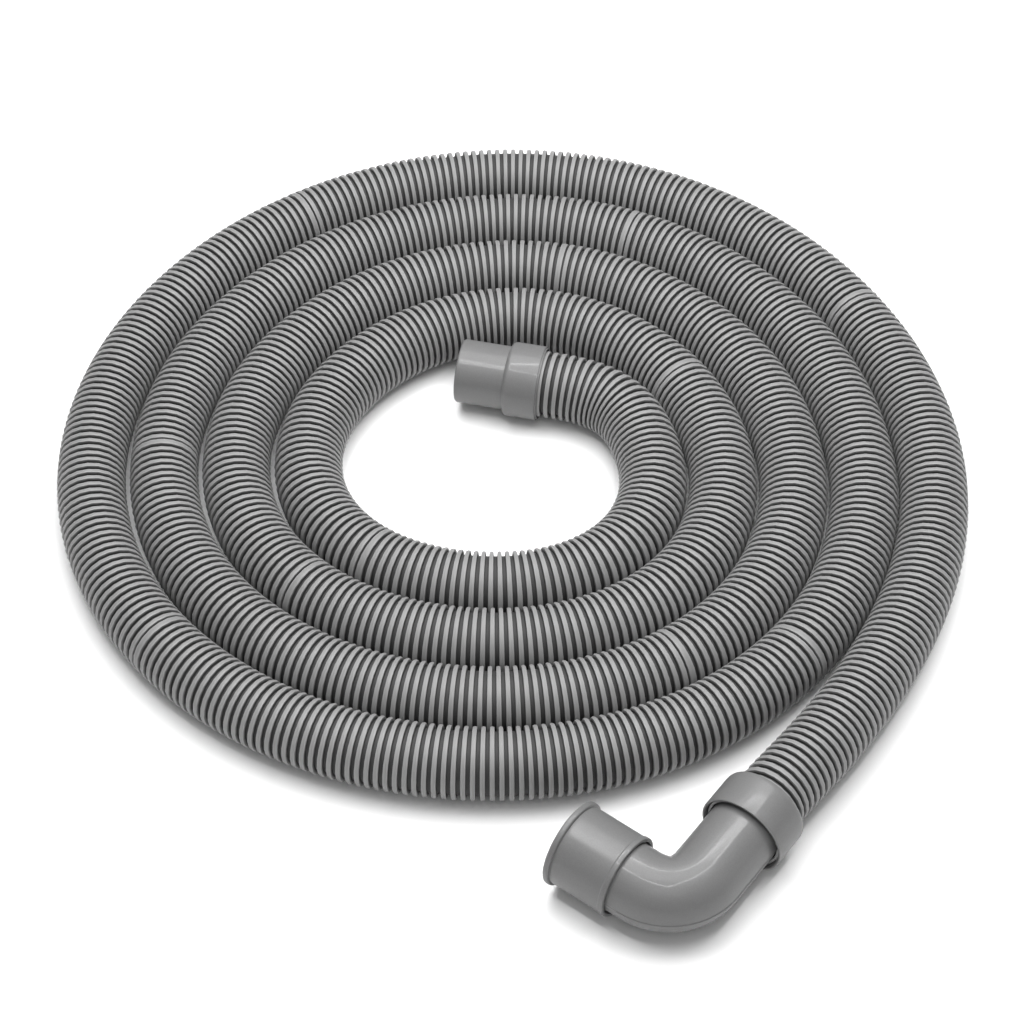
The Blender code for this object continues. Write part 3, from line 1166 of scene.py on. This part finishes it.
@dataclass
class OutletSocket:
    """The flared socket that turns on the elbow's short leg, with its snap ring and lip seal."""

    axis: Axis
    finishes: Finishes
    gap: float = 4.0
    gap_faces: float = radians(90)

    def build(self) -> None:
        """Build and place every piece of the outlet."""
        shell = turned("outlet_shell", rounded([
            (20.75, 58.7, 1.1), (20.75, 56.0, 1.1), (19.2, 55.6, 0.3), (19.4, 54.7, 0.3), (19.4, 29.9, 0.2),
            (19.8, 29.5, 0.35), (19.8, 27.1, 0.75), (18.0, 27.1, 0.3), (18.0, 29.6, 0), (18.8, 29.6, 0),
            (18.8, 31.8, 0), (18.3, 31.8, 0), (18.3, 41.6, 0.3), (14.0, 41.6, 0.3), (14.0, 43.2, 0.3),
            (17.4, 43.2, 0.3), (17.4, 54.8, 1.2), (18.9, 57.3, 0.8), (18.9, 58.7, 0.5)]),
            self.axis, SHELL_SIDES)
        self.finishes.hang(shell, Body.OUTLET, Slot.FITTING, "outlet_socket")
        retainer = split_ring("outlet_snap_ring", rounded([
            (18.4, 31.4, 0.2), (18.4, 30.0, 0.2), (17.8, 30.0, 0.1), (17.8, 29.1, 0.2), (16.3, 29.1, 0.2),
            (16.3, 31.4, 0.2)], 3), self.axis, self.gap, self.gap_faces)
        self.finishes.hang(retainer, Body.OUTLET, Slot.RING, "outlet_retaining_ring")
        lip = turned("outlet_lip_ring", rounded([
            (17.1, 49.6, 0.2), (17.1, 44.0, 0.2), (16.0, 44.0, 0.2), (16.0, 47.0, 0.5), (14.6, 48.2, 0.2),
            (14.6, 49.0, 0.2), (15.8, 49.6, 0.4)], 3), self.axis)
        self.finishes.hang(lip, Body.OUTLET, Slot.SEAL, "outlet_lip_seal")


@dataclass
class SwivelCuff:
    """The stepped cuff on the hose's inner end, and the pieces inside it that stay with the hose."""

    axis: Axis
    finishes: Finishes
    gap: float = 4.0
    gap_faces: float = radians(90)

    def build(self) -> list[bpy.types.Object]:
        """Build and place every piece of the cuff.

        Returns:
            The pieces.
        """
        shell = turned("cuff_shell", rounded([
            (15.7, 42.4, 0.3), (16.3, 41.7, 0.4), (16.3, 17.4, 0.3), (18.0, 17.1, 0.5), (19.0, 15.7, 1.1),
            (19.0, 0.0, 0.4), (18.55, 0.0, 0.2), (18.5, 0.7, 0), (18.2, 0.7, 0.1), (18.2, -0.8, 0.25),
            (17.7, -0.8, 0.2), (17.7, 2.2, 0), (18.45, 2.2, 0), (18.45, 4.6, 0), (17.7, 4.6, 0),
            (17.7, 15.2, 0.3), (14.0, 15.2, 0.3), (14.0, 42.4, 0.5)]),
            self.axis, SHELL_SIDES)
        self.finishes.hang(shell, Body.CUFF, Slot.FITTING, "swivel_cuff")
        retainer = split_ring("cuff_snap_ring", rounded([
            (18.1, 4.2, 0.15), (18.1, 2.6, 0.15), (17.35, 2.6, 0.15), (17.35, 4.2, 0.15)], 2),
            self.axis, self.gap, self.gap_faces)
        gasket = turned("cuff_gasket_ring", rounded([
            (14.4, 13.6, 0.15), (14.4, 12.8, 0.15), (17.1, 12.8, 0.15), (17.1, 13.6, 0.15)], 3), self.axis)
        sleeve = turned("cuff_sleeve", rounded([
            (17.1, 14.8, 0.2), (17.1, 14.0, 0.2), (13.4, 14.0, 0.2), (13.4, 9.0, 0), (13.7, 8.2, 0.1),
            (13.4, 7.4, 0), (13.4, 4.6, 0), (13.7, 3.8, 0.1), (13.4, 3.0, 0), (13.4, -1.5, 0.3),
            (12.6, -1.5, 0.3), (12.6, 14.8, 0.3)], 3), self.axis)
        for piece, slot, node in ((retainer, Slot.RING, "cuff_retaining_ring"),
                                  (gasket, Slot.SEAL, "cuff_gasket"),
                                  (sleeve, Slot.SLEEVE, "cuff_insert_sleeve")):
            self.finishes.hang(piece, Body.HOSE, slot, node)
        return [shell, retainer, gasket, sleeve]


# ---- The studio ----


@dataclass(frozen=True)
class SoftLight:
    """A rectangular soft light, aimed at a point."""

    name: str
    place: tuple[float, float, float]
    aim: tuple[float, float, float]
    size: tuple[float, float]
    turn: float
    watts: float

    def hang(self) -> None:
        """Add the light to the scene."""
        lamp = bpy.data.lights.new(self.name, "AREA")
        lamp.shape = "RECTANGLE"
        lamp.size, lamp.size_y = self.size
        lamp.energy = self.watts
        holder = bpy.data.objects.new(self.name, lamp)
        holder.location = self.place
        aim = Vector(self.aim) - Vector(self.place)
        facing = aim.to_track_quat("-Z", "Y").to_matrix() @ Matrix.Rotation(self.turn, 3, "Z")
        holder.rotation_euler = facing.to_euler()
        bpy.context.scene.collection.objects.link(holder)


@dataclass
class Studio:
    """White floor, soft overhead light and the camera."""

    camera_place: tuple[float, float, float] = (0.5458, -0.7461, 1.0431)
    camera_tilt: float = radians(40.97)
    camera_heading: float = radians(36.7)
    lens: float = 97.5
    floor_size: float = 12.0
    sky: float = 0.27
    lights: tuple[SoftLight, ...] = (
        SoftLight("overhead_softbox", (-0.209, 0.281, 1.2), (-0.209, 0.281, 0.0), (1.4, 1.2), radians(36.7),
                  19.5),
        SoftLight("front_fill", (0.62, -0.80, 1.25), (0.0, 0.0, 0.0), (0.9, 0.7), 0.0, 2.2),
        SoftLight("strip_left", (-0.28, 0.09, 1.3), (-0.28, 0.09, 0.0), (0.04, 1.02), 0.0, 4.2),
        SoftLight("strip_right", (0.43, 0.09, 1.3), (0.43, 0.09, 0.0), (0.04, 1.02), 0.0, 4.2),
        SoftLight("strip_far", (0.075, 0.60, 1.3), (0.075, 0.60, 0.0), (0.71, 0.04), 0.0, 3.6),
        SoftLight("strip_near", (0.075, -0.42, 1.3), (0.075, -0.42, 0.0), (0.71, 0.04), 0.0, 3.6),
    )

    def set_camera(self) -> None:
        """Place the camera."""
        lens = bpy.data.cameras.new("camera")
        lens.sensor_width = 36.0
        lens.lens = self.lens
        lens.clip_end = 50.0
        camera = bpy.data.objects.new("camera", lens)
        camera.location = self.camera_place
        camera.rotation_euler = (self.camera_tilt, 0.0, self.camera_heading)
        bpy.context.scene.collection.objects.link(camera)
        bpy.context.scene.camera = camera

    def lay_floor(self) -> None:
        """Lay the white floor."""
        object_mode()
        bpy.ops.mesh.primitive_plane_add(size=self.floor_size, location=(0, 0, 0))
        ground = bpy.context.object
        ground.name = "floor"
        graph = Graph("floor_paper")
        fibres = graph.noise(900.0, 2.0, 0.5)
        graph.feed(graph.shader.inputs["Base Color"], graph.blend(fibres, grey(0.90), grey(0.92)))
        graph.constants(Roughness=0.9, Specular_IOR_Level=0.1)
        ground.data.materials.append(graph.material)

    def light(self) -> None:
        """Set the sky's level, the lights and how levels are shown."""
        world = bpy.data.worlds.new("studio")
        world.use_nodes = True
        backdrop = world.node_tree.nodes["Background"]
        backdrop.inputs["Color"].default_value = (1.0, 1.0, 1.0, 1.0)
        backdrop.inputs["Strength"].default_value = self.sky
        bpy.context.scene.world = world
        bpy.context.scene.view_settings.view_transform = "Standard"
        for light in self.lights:
            light.hang()


# ---- The whole kit ----


def main() -> None:
    logging.basicConfig(level=logging.INFO, format="%(message)s")
    studio = Studio()
    studio.set_camera()
    layout = Layout.from_joints()
    finishes = Finishes()
    coil = CoiledHose(CoilRoute(layout))
    hose = coil.build(finishes)
    cuff = SwivelCuff(layout.cuff, finishes).build()
    coil.declare()
    HoseCollar(layout.collar, finishes).build()
    SwivelElbow(layout, finishes).build()
    OutletSocket(layout.outlet, finishes).build()
    studio.lay_floor()
    studio.light()


if __name__ == "__main__":
    main()
